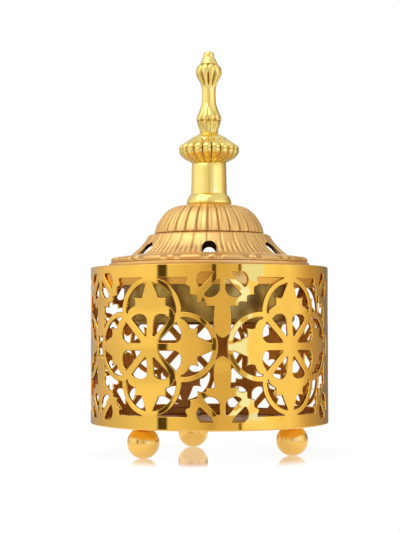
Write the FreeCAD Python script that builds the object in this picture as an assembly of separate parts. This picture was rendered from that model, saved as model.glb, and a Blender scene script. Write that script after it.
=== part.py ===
import FreeCAD, Part
import math
import os

# Pierced incense burner: a rolled drum on ball feet, a dish that hangs in it and a domed lid with a handle.
# Millimetres, +Z up. The origin is on the floor, on the drum's axis, and the front faces -Y.
# Angles are in degrees from the front, growing towards the right-hand side (+X).

Vector = FreeCAD.Vector
UP = Vector(0, 0, 1)

# Drum
DRUM_DIAMETER = 75.0
DRUM_HEIGHT = 49.0
DRUM_WALL = 0.8
BAND_HEIGHT = 4.1            # plain band at the top and bottom edge
SEAM_STRIP_WIDTH = 9.2       # plain strip that carries the closing seam
SEAM_SLIT = 0.3              # gap between the two rolled ends

# Piercing of the drum: medallions of four lobes, with an ornament between each two
MEDALLION_COUNT = 5
FRONT_ORNAMENT_ANGLE = 6.05  # the ornament nearest the front, the last one before the seam
LOBE_RADIUS = 10.4           # outside of one lobe of a medallion's ring
RING_WIDTH = 1.7
RING_SINK = 0.3              # how far a ring runs into the plain bands
RING_GAP = 2.6               # between the rings of neighbouring medallions
BAR_WIDTH = 2.2              # diagonal bars of a medallion
STEM_WIDTH = 2.4             # straight stems of a medallion
HUB_RADIUS = 3.5
WAIST_GAP = 5.1              # between the two leaf tips of an ornament
LEAF_WIDTH = 5.2
ARM_REACH = 11.1             # of an ornament's toothed arms to each side
ARM_DROP = 8.6               # of the arms below the plain band
STALK_WIDTH = 1.8            # between the openings inside an ornament

# Base plate and feet
PLATE_THICKNESS = 1.0
PLATE_RIM_HEIGHT = 3.2
PLATE_DROP = 0.3             # how far the plate stands below the drum's edge
FOOT_DIAMETER = 9.9
FOOT_FLAT_RADIUS = 1.0       # small flat that each ball stands on
FOOT_SEAT_RADIUS = 1.95      # flat on top of each ball, against the plate
FOOT_COUNT = 3
FOOT_CIRCLE_RADIUS = 27.0
FIRST_FOOT_ANGLE = -48.3
SCREW_DIAMETER = 3.0
SCREW_LENGTH = 6.0           # below the head
SCREW_HEAD_DIAMETER = 5.5
SCREW_HEAD_HEIGHT = 1.7
DRIVE_WIDTH = 0.8            # screwdriver slot
DRIVE_DEPTH = 0.8

# Support ring in the mouth of the drum
SUPPORT_THICKNESS = 0.8
SUPPORT_SKIRT_HEIGHT = 6.1

# Dish for charcoal and incense
DISH_DIAMETER = 54.0
DISH_DEPTH = 18.8            # from the top of its flange to its underside
DISH_WALL = 0.8
DISH_CORNER_RADIUS = 2.0
DISH_FLANGE_WIDTH = 4.0

# Lid, with heights from the plane that its flange rests on
LID_DIAMETER = 63.4
LID_EDGE = 0.7               # thickness of the flange's outer edge
LID_SHELL = 1.4
LIP_DEPTH = 2.0              # locating lip that drops into the dish
LIP_WALL = 1.6
MOULDING_RADIUS = 30.4       # outer edge of the raised moulding on the flange
MOULDING_HEIGHT = 3.1
MOULDING_ROUND = 1.2         # its rounded corner
FLARE_FOOT_RADIUS = 24.2
FLARE_FOOT_HEIGHT = 3.4
FLARE_HOLLOW = 0.5           # how far the flare sags inside a straight cone
FLARE_TOP_RADIUS = 19.4
FLARE_TOP_HEIGHT = 9.0
DOME_FOOT_RADIUS = 17.2
DOME_FOOT_HEIGHT = 10.4
DOME_STEP = 0.3              # groove between the flare and the dome
DOME_HEIGHT = 19.3
DOME_BULGE = 2.2             # how far the dome swells outside a straight cone
RIB_COUNT = 30
RIB_DEPTH = 0.5
RIB_FADE = 0.5               # share of that depth lost towards the handle
RIB_SECTIONS = 8
RIB_CROWN_ANGLE = 4.4        # the rib nearest the front
VENT_COUNT = 6
VENT_WIDTH = 4.0
VENT_HEIGHT = 3.7

# Handle, a stack clamped to the lid by a threaded rod
COLUMN_DIAMETER = 10.9
COLUMN_HEIGHT = 13.0
COLUMN_FOOT_DIAMETER = 13.8
COLUMN_FOOT_HEIGHT = 2.9
COLUMN_TAPER = 0.2
COLUMN_MARGIN = 0.2          # of the dome's flat top round the column's foot
KNOP_DIAMETER = 19.2
KNOP_HEIGHT = 9.8
KNOP_NECK_DIAMETER = 6.2
KNOP_LOBES = 19
KNOP_LOBE_DEPTH = 0.7
KNOP_CROWN_ANGLE = -4.0      # the lobe nearest the front
SPINDLE_HEIGHT = 26.2
SPINDLE_FOOT_DIAMETER = 5.7
SPINDLE_BULB_DIAMETER = 8.1
SPINDLE_WAIST_DIAMETER = 4.4
SPINDLE_TIP_DIAMETER = 3.0
SPINDLE_LOBES = 10
SPINDLE_LOBE_DEPTH = 0.35
SPINDLE_CROWN_ANGLE = 14.5   # the lobe to the right of the front
ROD_DIAMETER = 3.0
ROD_GRIP = 7.0               # length of the rod inside the spindle
ROD_TAIL = 1.0               # length of the rod below the nut
NUT_FLATS = 5.5
NUT_HEIGHT = 2.4
WASHER_DIAMETER = 7.0
WASHER_THICKNESS = 0.5

# Clearances
SEAT_CLEARANCE = 0.4         # round a piece that lifts out
FIT_CLEARANCE = 0.05         # round a piece that is fastened

# Places worked out from the sizes above
foot_radius = FOOT_DIAMETER / 2
foot_middle = math.sqrt(foot_radius ** 2 - FOOT_FLAT_RADIUS ** 2)
plate_bottom = foot_middle + math.sqrt(foot_radius ** 2 - FOOT_SEAT_RADIUS ** 2)
plate_top = plate_bottom + PLATE_THICKNESS
drum_radius = DRUM_DIAMETER / 2
drum_bore = drum_radius - DRUM_WALL
drum_bottom = plate_bottom + PLATE_DROP
drum_top = drum_bottom + DRUM_HEIGHT
drum_middle = drum_bottom + DRUM_HEIGHT / 2
panel_half = DRUM_HEIGHT / 2 - BAND_HEIGHT
dish_bore = DISH_DIAMETER / 2 - DISH_WALL
lid_seat = drum_top + DISH_WALL
lip_radius = dish_bore - SEAT_CLEARANCE
dome_top = lid_seat + DOME_HEIGHT
dome_seat_radius = COLUMN_FOOT_DIAMETER / 2 + COLUMN_MARGIN
knop_bottom = dome_top + COLUMN_HEIGHT
spindle_bottom = knop_bottom + KNOP_HEIGHT
spindle_top = spindle_bottom + SPINDLE_HEIGHT
washer_top = dome_top - LID_SHELL
nut_top = washer_top - WASHER_THICKNESS
rod_bottom = nut_top - NUT_HEIGHT - ROD_TAIL

# The medallions and ornaments share what the seam strip leaves of the drum.
seam_angle = math.degrees(SEAM_STRIP_WIDTH / drum_radius)
element_angle = (360.0 - seam_angle) / (2 * MEDALLION_COUNT)
element_pitch = math.radians(element_angle) * drum_radius
lobe_rise = panel_half + RING_SINK - LOBE_RADIUS
lobe_reach = element_pitch - RING_GAP / 2 - LOBE_RADIUS

# The point of a rounded corner that lies half way round it, as a share of its radius.
QUARTER_BOW = 1 - math.sqrt(0.5)


def polar(radius, angle, height=0.0):
    """The point at that radius, angle from the front and height."""
    turn = math.radians(angle - 90.0)
    return Vector(radius * math.cos(turn), radius * math.sin(turn), height)


def around_axis(shape, angle):
    return shape.rotated(Vector(0, 0, 0), UP, angle)


def on_wall(point):
    """A point of the unrolled wall, along it and up it from its middle."""
    return Vector(point[0], point[1], 0)


def on_meridian(point):
    """A point of a turned profile, given as radius and height."""
    return Vector(point[0], 0, point[1])


def is_arc(step):
    return isinstance(step[0], tuple)


def outline(steps, place):
    """A closed wire. A step is a point, for a line, or a pair, for an arc through the first to the second."""
    edges = []
    here = place(steps[0])
    for step in steps[1:] + steps[:1]:
        if is_arc(step):
            end = place(step[1])
            edges.append(Part.Arc(here, place(step[0]), end).toShape())
        else:
            end = place(step)
            if not here.isEqual(end, 1e-6):
                edges.append(Part.LineSegment(here, end).toShape())
        here = end
    return Part.Wire(edges)


def mirrored(half):
    """The closed outline of a right-hand half, drawn upwards, and its mirror image, drawn back down."""
    back = []
    through = None
    for step in reversed(half):
        end = step[1] if is_arc(step) else step
        flat = (-end[0], end[1])
        back.append(flat if through is None else ((-through[0], through[1]), flat))
        through = step[0] if is_arc(step) else None
    return half + back


def turned(steps, base=0.0):
    """The solid that a closed profile of radius and height sweeps about the axis, raised to the base."""
    solid = Part.Face(outline(steps, on_meridian)).revolve(Vector(0, 0, 0), UP, 360)
    return solid.translated(Vector(0, 0, base))


def cylinder(radius, bottom, top, centre=Vector(0, 0, 0)):
    return Part.makeCylinder(radius, top - bottom, centre + Vector(0, 0, bottom))


def rod_hole(bottom, top):
    return cylinder(ROD_DIAMETER / 2 + FIT_CLEARANCE, bottom, top)


def plate(steps):
    return Part.Face(outline(steps, on_wall))


def disc(radius, x, y):
    return Part.Face(Part.Wire(Part.makeCircle(radius, on_wall((x, y)))))


def rectangle(half_width, half_height):
    return plate([(-half_width, -half_height), (half_width, -half_height),
                  (half_width, half_height), (-half_width, half_height)])


def bowed_middle(start, end, bow):
    """The middle of a line between two points, moved sideways by the bow, to the left of the way it runs."""
    along = Vector(end[0] - start[0], end[1] - start[1], 0)
    side = Vector(-along.y, along.x, 0).normalize() * bow
    return ((start[0] + end[0]) / 2 + side.x, (start[1] + end[1]) / 2 + side.y)


def lobed_wire(radius, depth, count, height, first):
    """A closed ring of arcs whose lobes crown at the radius, with grooves between, from the first lobe."""
    step = 360.0 / count
    edges = []
    for i in range(count):
        start = polar(radius - depth, first + (i - 0.5) * step, height)
        crown = polar(radius, first + i * step, height)
        end = polar(radius - depth, first + (i + 0.5) * step, height)
        edges.append(Part.Arc(start, crown, end).toShape())
    return Part.Wire(edges)


def lobed(sections, count, first):
    """A solid lofted through lobed rings, each given as radius, groove depth and height."""
    wires = [lobed_wire(radius, depth, count, height, first) for radius, depth, height in sections]
    return Part.makeLoft(wires, True, False)


def lobe_discs(radius, middle=0.0):
    """Discs on the four lobes of a medallion, whose middle is that far along the wall."""
    places = [(0, lobe_rise), (lobe_reach, 0), (0, -lobe_rise), (-lobe_reach, 0)]
    return [disc(radius, middle + x, y) for x, y in places]


def petal(offset):
    """A leaf with two teeth on each side, on a stem, whose lobe's centre is the offset above the hub."""
    r = LOBE_RADIUS
    stem = STEM_WIDTH / 2
    return plate(mirrored([
        (stem, 0.0),
        (stem, offset - 0.26 * r),
        ((0.20 * r, offset - 0.115 * r), (0.365 * r, offset - 0.072 * r)),
        ((0.52 * r, offset - 0.105 * r), (0.625 * r, offset - 0.19 * r)),
        (0.76 * r, offset - 0.21 * r),
        (0.92 * r, offset - 0.06 * r),
        (0.79 * r, offset - 0.07 * r),
        ((0.775 * r, offset + 0.01 * r), (0.72 * r, offset + 0.08 * r)),
        ((0.63 * r, offset + 0.145 * r), (0.53 * r, offset + 0.18 * r)),
        ((0.515 * r, offset + 0.31 * r), (0.56 * r, offset + 0.445 * r)),
        ((0.43 * r, offset + 0.405 * r), (0.285 * r, offset + 0.415 * r)),
        ((0.205 * r, offset + 0.62 * r), (0.065 * r, offset + 0.92 * r)),
    ]))


def diagonal_bars():
    """Two bars that cross at the hub and run to the notches of the ring."""
    bar = rectangle(lobe_reach + LOBE_RADIUS, BAR_WIDTH / 2)
    return [around_axis(bar, 45), around_axis(bar, -45)]


def medallion_openings():
    """What is cut away inside a medallion's ring, round its petals, diagonal bars and hub."""
    lobes = lobe_discs(LOBE_RADIUS - RING_WIDTH)
    inside = lobes[0].fuse(lobes[1:] + [disc(HUB_RADIUS, 0, 0)])
    upright, level = petal(lobe_rise), petal(lobe_reach)
    petals = [upright, around_axis(upright, 180), around_axis(level, 90), around_axis(level, -90)]
    return inside.cut(petals + diagonal_bars() + [disc(HUB_RADIUS, 0, 0)]).Faces


def on_ornament(spread, across, down):
    """A point of an ornament, as shares of its arms' reach to the right and of their drop below the band."""
    return (spread + across * ARM_REACH, panel_half - down * ARM_DROP)


def ornament_half(spread):
    """The upper half of an ornament: toothed arms under the top band and a leaf that points at the waist.

    The spread widens it about its middle, to take in the plain seam strip."""
    tip = WAIST_GAP / 2
    leaf = LEAF_WIDTH / 2

    def at(across, down):
        return on_ornament(spread, across, down)

    return plate(mirrored([
        (spread, tip),
        ((spread + 0.58 * leaf, tip + 0.3 * leaf), (spread + 0.96 * leaf, tip + 0.8 * leaf)),
        ((spread + 1.06 * leaf, panel_half - 1.4 * ARM_DROP), (spread + 0.94 * leaf, panel_half - ARM_DROP)),
        (at(0.335, 0.983), at(0.445, 1.017)),
        (at(0.44, 0.936), at(0.455, 0.855)),
        (at(0.57, 0.843), at(0.69, 0.872)),
        (at(0.675, 0.756), at(0.685, 0.634)),
        (at(0.785, 0.605), at(0.89, 0.581)),
        (at(0.87, 0.453), at(0.883, 0.326)),
        (at(0.945, 0.285), at(1.0, 0.244)),
        (at(1.0, 0.163), at(0.964, 0.081)),
        (spread + 0.964 * ARM_REACH, panel_half + RING_SINK),
    ]))


def stalk_openings(spread):
    """Two openings beside an ornament's upper right stalk: a teardrop inside it, a pocket outside it."""
    stalk = STALK_WIDTH / 2

    def at(across, down):
        return on_ornament(spread, across, down)

    teardrop = plate([
        (spread + stalk, panel_half - 0.07 * ARM_DROP),
        (spread + stalk, panel_half - 0.395 * ARM_DROP),
        (at(0.18, 0.6), at(0.342, 0.669)),
        (at(0.441, 0.645), at(0.5, 0.576)),
        at(0.153, 0.081),
    ])
    pocket = plate([
        at(0.297, -0.058),
        at(0.568, 0.285),
        (at(0.617, 0.314), at(0.653, 0.256)),
        (at(0.689, 0.012), at(0.559, -0.186)),
        at(0.252, -0.186),
    ])
    return [teardrop, pocket]


def ornament_openings(spread):
    """What is cut away between two medallions, round and inside the ornament that stands between them."""
    reach = element_pitch + spread
    upper = ornament_half(spread)
    metal = [upper, upper.mirror(Vector(0, 0, 0), Vector(0, 1, 0))]
    metal += lobe_discs(LOBE_RADIUS, reach) + lobe_discs(LOBE_RADIUS, -reach)
    if spread > 0:
        metal.append(rectangle(spread, panel_half))
    openings = rectangle(reach, panel_half).cut(metal).Faces
    for face in stalk_openings(spread):
        right = [face, face.mirror(Vector(0, 0, 0), Vector(0, 1, 0))]
        openings += right + [one.mirror(Vector(0, 0, 0), Vector(1, 0, 0)) for one in right]
    return openings


def through_wall(face, angle):
    """The cutter that pushes one opening straight through the wall, square to it at the opening's middle."""
    middle = face.CenterOfMass.x
    facing = math.radians(angle) + middle / drum_radius
    sine, cosine = math.sin(facing), math.cos(facing)
    start = drum_radius + DRUM_WALL
    place = FreeCAD.Matrix(
        cosine, 0, sine, sine * start,
        sine, 0, -cosine, -cosine * start,
        0, 1, 0, drum_middle,
        0, 0, 0, 1,
    )
    cutter = face.translated(Vector(-middle, 0, 0)).extrude(Vector(0, 0, -3 * DRUM_WALL))
    cutter.Placement = FreeCAD.Placement(place).multiply(cutter.Placement)
    return cutter


def pierced_drum():
    """A strip of sheet, pierced, rolled up and closed at a plain seam."""
    wall = cylinder(drum_radius, drum_bottom, drum_top).cut(cylinder(drum_bore, drum_bottom, drum_top))
    medallion, ornament = medallion_openings(), ornament_openings(0.0)
    first = FRONT_ORNAMENT_ANGLE - element_angle * (2 * MEDALLION_COUNT - 3)
    cutters = []
    for i in range(MEDALLION_COUNT):
        angle = first + 2 * i * element_angle
        cutters += [through_wall(face, angle) for face in medallion]
        if i < MEDALLION_COUNT - 1:
            cutters += [through_wall(face, angle + element_angle) for face in ornament]
    seam = first - element_angle - seam_angle / 2
    cutters += [through_wall(face, seam) for face in ornament_openings(SEAM_STRIP_WIDTH / 2)]
    slit = Part.makeBox(3 * DRUM_WALL, SEAM_SLIT, DRUM_HEIGHT,
                        Vector(drum_bore - DRUM_WALL, -SEAM_SLIT / 2, drum_bottom))
    cutters.append(around_axis(slit, seam - 90.0))
    return wall.cut(cutters)


def foot_places():
    return [polar(FOOT_CIRCLE_RADIUS, FIRST_FOOT_ANGLE + i * 360.0 / FOOT_COUNT) for i in range(FOOT_COUNT)]


def base_plate():
    """A pressed pan with a low upturned rim that is fixed inside the drum's lower band."""
    outer = drum_bore - FIT_CLEARANCE
    inner = outer - PLATE_THICKNESS
    rim = plate_bottom + PLATE_RIM_HEIGHT
    pan = turned([
        (0, plate_bottom),
        (outer, plate_bottom),
        (outer, rim),
        (inner, rim),
        (inner, plate_top),
        (0, plate_top),
    ])
    hole = SCREW_DIAMETER / 2 + FIT_CLEARANCE
    return pan.cut([cylinder(hole, plate_bottom, plate_top, place) for place in foot_places()])


def ball_foot(place):
    """A ball with a flat to stand on, a flat seat under the base plate and a blind hole for its screw."""
    ball = Part.makeSphere(foot_radius, place + Vector(0, 0, foot_middle))
    ball = ball.common(cylinder(FOOT_DIAMETER, 0, plate_bottom, place))
    hole_bottom = plate_top - SCREW_LENGTH - FIT_CLEARANCE
    return ball.cut(cylinder(SCREW_DIAMETER / 2 + FIT_CLEARANCE, hole_bottom, plate_bottom, place))


def foot_screw(place):
    """A slotted pan-head screw that holds a foot from inside the base plate."""
    top = plate_top + SCREW_HEAD_HEIGHT
    shoulder = plate_top + SCREW_HEAD_HEIGHT / 2
    radius = SCREW_HEAD_DIAMETER / 2
    head = turned([
        (0, plate_top),
        (radius, plate_top),
        (radius, shoulder),
        ((0.8 * radius, plate_top + 0.86 * SCREW_HEAD_HEIGHT), (0.4 * radius, top)),
        (0, top),
    ])
    shank = cylinder(SCREW_DIAMETER / 2, plate_top - SCREW_LENGTH, plate_top)
    drive = Part.makeBox(SCREW_HEAD_DIAMETER, DRIVE_WIDTH, DRIVE_DEPTH,
                         Vector(-radius, -DRIVE_WIDTH / 2, top - DRIVE_DEPTH))
    return head.fuse(shank).cut(drive).translated(place)


def support_ring():
    """An angle ring inside the drum's mouth: a shelf that the dish hangs on and a skirt fixed to the wall."""
    outer = drum_bore - FIT_CLEARANCE
    inner = DISH_DIAMETER / 2 + SEAT_CLEARANCE
    skirt = outer - SUPPORT_THICKNESS
    shelf = drum_top - SUPPORT_THICKNESS
    foot = drum_top - SUPPORT_SKIRT_HEIGHT
    return turned([
        (inner, drum_top),
        (inner, shelf),
        (skirt, shelf),
        (skirt, foot),
        (outer, foot),
        (outer, drum_top),
    ])


def dish():
    """A straight-sided pan with a flat flange that rests on the support ring."""
    outer = DISH_DIAMETER / 2
    flange = outer + DISH_FLANGE_WIDTH
    bottom = lid_seat - DISH_DEPTH
    floor = bottom + DISH_WALL
    bend = DISH_CORNER_RADIUS
    tight = bend - DISH_WALL
    return turned([
        (0, bottom),
        (outer - bend, bottom),
        ((outer - QUARTER_BOW * bend, bottom + QUARTER_BOW * bend), (outer, bottom + bend)),
        (outer, drum_top),
        (flange, drum_top),
        (flange, lid_seat),
        (dish_bore, lid_seat),
        (dish_bore, bottom + bend),
        ((dish_bore - QUARTER_BOW * tight, floor + QUARTER_BOW * tight), (dish_bore - tight, floor)),
        (0, floor),
    ])


def flare_steps(inset):
    """The flared skirt's profile from its foot to its top, that far inside the outer face."""
    foot = (FLARE_FOOT_RADIUS - inset, FLARE_FOOT_HEIGHT)
    top = (FLARE_TOP_RADIUS - inset, FLARE_TOP_HEIGHT)
    return [foot, (bowed_middle(foot, top, FLARE_HOLLOW), top)]


def dome_arc():
    """The crown line of the dome's ribs, from its foot to the seat of the handle."""
    foot = (DOME_FOOT_RADIUS, DOME_FOOT_HEIGHT)
    seat = (dome_seat_radius, DOME_HEIGHT)
    middle = bowed_middle(foot, seat, -DOME_BULGE)
    return Part.Arc(on_meridian(foot), on_meridian(middle), on_meridian(seat))


def ribbed_dome():
    """The dome, whose ribs grow shallower towards the handle."""
    arc = dome_arc().toShape()
    sections = []
    for i, point in enumerate(arc.discretize(RIB_SECTIONS)):
        fade = 1 - RIB_FADE * i / (RIB_SECTIONS - 1)
        sections.append((point.x, RIB_DEPTH * fade, lid_seat + point.z))
    return lobed(sections, RIB_COUNT, RIB_CROWN_ANGLE)


def lid_cavity():
    """The hollow of the lid, a wall's thickness inside its outer face."""
    bore = lip_radius - LIP_WALL
    foot = (DOME_FOOT_RADIUS - RIB_DEPTH - LID_SHELL, DOME_FOOT_HEIGHT)
    ceiling = (dome_seat_radius - LID_SHELL, DOME_HEIGHT - LID_SHELL)
    return turned([(0, -LIP_DEPTH), (bore, -LIP_DEPTH), (bore, 0)] + flare_steps(LID_SHELL + RIB_DEPTH) + [
        foot,
        (bowed_middle(foot, ceiling, -DOME_BULGE), ceiling),
        (0, DOME_HEIGHT - LID_SHELL),
    ], lid_seat)


def vents():
    """Cutters for the arched smoke vents, level tunnels through the flared skirt."""
    half = VENT_WIDTH / 2
    foot = lid_seat + FLARE_FOOT_HEIGHT
    spring = foot + VENT_HEIGHT - half
    crown = ((0, spring + half), (-half, spring))
    arch = outline([(-half, foot), (half, foot), (half, spring), crown], on_meridian)
    inner = FLARE_TOP_RADIUS - 4 * LID_SHELL
    tunnel = Part.Face(arch.translated(Vector(0, -inner, 0))).extrude(Vector(0, inner - LID_DIAMETER / 2, 0))
    return [around_axis(tunnel, i * 360.0 / VENT_COUNT) for i in range(VENT_COUNT)]


def lid():
    """A cast shell: flange with a locating lip and a moulding, flared skirt with vents, and a ribbed dome."""
    edge = LID_DIAMETER / 2
    moulding = MOULDING_RADIUS
    corner = QUARTER_BOW * MOULDING_ROUND
    brim = (FLARE_TOP_RADIUS, FLARE_TOP_HEIGHT)
    shoulder = (DOME_FOOT_RADIUS + DOME_STEP, DOME_FOOT_HEIGHT - DOME_STEP)
    skirt = turned([
        (0, -LIP_DEPTH),
        (lip_radius, -LIP_DEPTH),
        (lip_radius, 0),
        (edge, 0),
        (edge, LID_EDGE),
        (moulding, MOULDING_HEIGHT - MOULDING_ROUND),
        ((moulding - corner, MOULDING_HEIGHT - corner), (moulding - MOULDING_ROUND, MOULDING_HEIGHT)),
        (FLARE_FOOT_RADIUS + MOULDING_ROUND, MOULDING_HEIGHT),
    ] + flare_steps(0.0) + [
        (bowed_middle(brim, shoulder, -DOME_STEP), shoulder),
        (DOME_FOOT_RADIUS - RIB_DEPTH, DOME_FOOT_HEIGHT),
        (0, DOME_FOOT_HEIGHT),
    ], lid_seat)
    return skirt.fuse(ribbed_dome()).cut([lid_cavity(), rod_hole(lid_seat, dome_top)] + vents())


def column():
    """A smooth turned pillar with a swelling foot, bored for the rod."""
    radius = COLUMN_DIAMETER / 2
    foot = COLUMN_FOOT_DIAMETER / 2
    swell = foot - radius
    pillar = turned([
        (0, 0),
        (foot - 0.2 * swell, 0),
        ((foot, 0.17 * COLUMN_FOOT_HEIGHT), (foot - 0.14 * swell, 0.38 * COLUMN_FOOT_HEIGHT)),
        ((foot - 0.48 * swell, 0.74 * COLUMN_FOOT_HEIGHT), (radius + 0.07 * swell, COLUMN_FOOT_HEIGHT)),
        (radius, 1.07 * COLUMN_FOOT_HEIGHT),
        (radius - COLUMN_TAPER, COLUMN_HEIGHT),
        (0, COLUMN_HEIGHT),
    ], dome_top)
    return pillar.cut(rod_hole(dome_top, knop_bottom))


def knop():
    """A flattened lobed bead with a short plain neck, bored for the rod."""
    full = KNOP_DIAMETER / 2
    foot = COLUMN_DIAMETER / 2
    neck = KNOP_NECK_DIAMETER / 2
    depth = KNOP_LOBE_DEPTH
    shares = [
        (0.0, 0.4, 0.0),
        (0.45, 0.9, 0.145),
        (0.83, 1.0, 0.28),
        (1.0, 1.0, 0.41),
        (0.75, 1.0, 0.555),
        (0.30, 0.7, 0.71),
    ]
    sections = []
    for out, cut, up in shares:
        sections.append((foot + (full - foot) * out, depth * cut, knop_bottom + KNOP_HEIGHT * up))
    sections.append((neck + 1.1, 0.3 * depth, knop_bottom + 0.88 * KNOP_HEIGHT))
    collar = cylinder(neck, knop_bottom + 0.7 * KNOP_HEIGHT, spindle_bottom)
    body = lobed(sections, KNOP_LOBES, KNOP_CROWN_ANGLE).fuse(collar)
    return body.cut(rod_hole(knop_bottom, spindle_bottom))


def spindle():
    """A slim baluster: two lobed bulbs, a waist between them and a small tip, bored part way for the rod."""
    foot = SPINDLE_FOOT_DIAMETER / 2
    bulb = SPINDLE_BULB_DIAMETER / 2
    waist = SPINDLE_WAIST_DIAMETER / 2
    tip = SPINDLE_TIP_DIAMETER / 2
    swell = bulb - waist
    shares = [
        (foot, 0.7, 0.0),
        (foot, 0.7, 0.04),
        (waist + 0.75 * swell, 1.0, 0.11),
        (waist + 0.95 * swell, 1.0, 0.165),
        (waist + 0.65 * swell, 0.9, 0.225),
        (waist + 0.22 * swell, 0.7, 0.30),
        (waist, 0.5, 0.38),
        (waist, 0.5, 0.54),
        (waist + 0.25 * swell, 0.9, 0.60),
        (waist + 0.75 * swell, 1.0, 0.67),
        (bulb, 1.0, 0.735),
        (waist + 0.70 * swell, 0.8, 0.79),
        (waist + 0.1 * swell, 0.4, 0.84),
    ]
    sections = []
    for out, cut, up in shares:
        sections.append((out, SPINDLE_LOBE_DEPTH * cut, spindle_bottom + SPINDLE_HEIGHT * up))
    cone = spindle_bottom + 0.80 * SPINDLE_HEIGHT
    crown = spindle_top - tip
    slant = tip * math.sqrt(0.5)
    point = turned([
        (0, cone),
        (1.47 * tip, cone),
        (1.3 * tip, crown - 1.2 * tip),
        (0.94 * tip, crown - 0.6 * tip),
        (tip, crown),
        ((slant, crown + slant), (0, spindle_top)),
    ])
    body = lobed(sections, SPINDLE_LOBES, SPINDLE_CROWN_ANGLE).fuse(point)
    return body.cut(rod_hole(spindle_bottom, spindle_bottom + ROD_GRIP))


def rod():
    """The rod that clamps the handle's stack to the lid."""
    return cylinder(ROD_DIAMETER / 2, rod_bottom, spindle_bottom + ROD_GRIP - FIT_CLEARANCE)


def washer():
    return cylinder(WASHER_DIAMETER / 2, nut_top, washer_top).cut(rod_hole(nut_top, washer_top))


def nut():
    bottom = nut_top - NUT_HEIGHT
    corners = [polar(NUT_FLATS / math.sqrt(3), i * 60.0, bottom) for i in range(6)]
    hexagon = Part.Face(Part.makePolygon(corners + corners[:1])).extrude(UP * NUT_HEIGHT)
    return hexagon.cut(rod_hole(bottom, nut_top))


def main():
    nodes = {
        "drum_shell": pierced_drum(),
        "base_plate": base_plate(),
        "foot_screws": Part.makeCompound([foot_screw(place) for place in foot_places()]),
        "support_ring": support_ring(),
        "charcoal_dish": dish(),
        "lid_dome": lid(),
        "lid_washer": washer(),
        "lid_nut": nut(),
        "handle_rod": rod(),
        "handle_column": column(),
        "handle_knop": knop(),
        "handle_spindle": spindle(),
    }
    for i, place in enumerate(foot_places()):
        nodes[f"ball_foot_{i + 1}"] = ball_foot(place)
    os.makedirs("parts", exist_ok=True)
    for name, shape in nodes.items():
        shape.exportStep(f"parts/{name}.step")
        print(name, "solids", len(shape.Solids), "valid", shape.isValid())


main()
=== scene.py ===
import math

import bmesh
import bpy
from mathutils import Matrix, Vector, noise
from mathutils.geometry import delaunay_2d_cdt, interpolate_bezier


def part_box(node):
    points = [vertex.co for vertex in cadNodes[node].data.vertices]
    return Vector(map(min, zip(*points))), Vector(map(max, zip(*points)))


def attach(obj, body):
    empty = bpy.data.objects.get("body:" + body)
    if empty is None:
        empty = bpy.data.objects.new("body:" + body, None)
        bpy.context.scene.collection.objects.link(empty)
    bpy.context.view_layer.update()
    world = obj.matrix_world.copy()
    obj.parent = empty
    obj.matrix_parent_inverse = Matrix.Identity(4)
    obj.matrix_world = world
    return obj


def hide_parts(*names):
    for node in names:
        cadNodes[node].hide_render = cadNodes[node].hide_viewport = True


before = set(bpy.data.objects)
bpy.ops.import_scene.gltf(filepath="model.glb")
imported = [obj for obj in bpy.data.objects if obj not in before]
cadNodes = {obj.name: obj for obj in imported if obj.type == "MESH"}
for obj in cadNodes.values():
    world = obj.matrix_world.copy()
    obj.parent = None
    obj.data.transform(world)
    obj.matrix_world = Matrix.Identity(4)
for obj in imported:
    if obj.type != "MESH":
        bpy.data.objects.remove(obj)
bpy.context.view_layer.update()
mm = 0.001                       # the dictionaries hold millimetres and degrees, the meshes metres
print("frame loaded:", len(cadNodes), "nodes")


def linear(hexCode):             # sRGB hex to a linear colour
    shares = [int(hexCode[i:i + 2], 16) / 255 for i in (0, 2, 4)]
    return tuple(s / 12.92 if s <= 0.04045 else ((s + 0.055) / 1.055) ** 2.4 for s in shares) + (1.0,)


def addNode(tree, kind, inputs=None, **settings):  # one node with its settings, values and links
    node = tree.nodes.new(kind)
    for name, value in settings.items():
        setattr(node, name, value)
    for socket, source in (inputs or {}).items():
        if isinstance(source, bpy.types.NodeSocket):
            tree.links.new(source, node.inputs[socket])
        else:
            node.inputs[socket].default_value = source
    return node


def newFinish(name):             # an empty material, its tree and its object coordinates
    material = bpy.data.materials.new(name)
    material.use_nodes = True
    tree = material.node_tree
    tree.nodes.clear()
    return material, tree, addNode(tree, "ShaderNodeTexCoord").outputs["Object"]


def perMm(size):                 # texture scale for a pattern that repeats every so many millimetres
    return 1 / (size * mm)


# All the metals: tones that drift in soft clouds, a gloss that drifts with them, and a fine relief on some
metal = {"cloudDetail": 3.0, "cloudRough": 0.5, "cloudSpan": (0.3, 0.7)}


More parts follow.
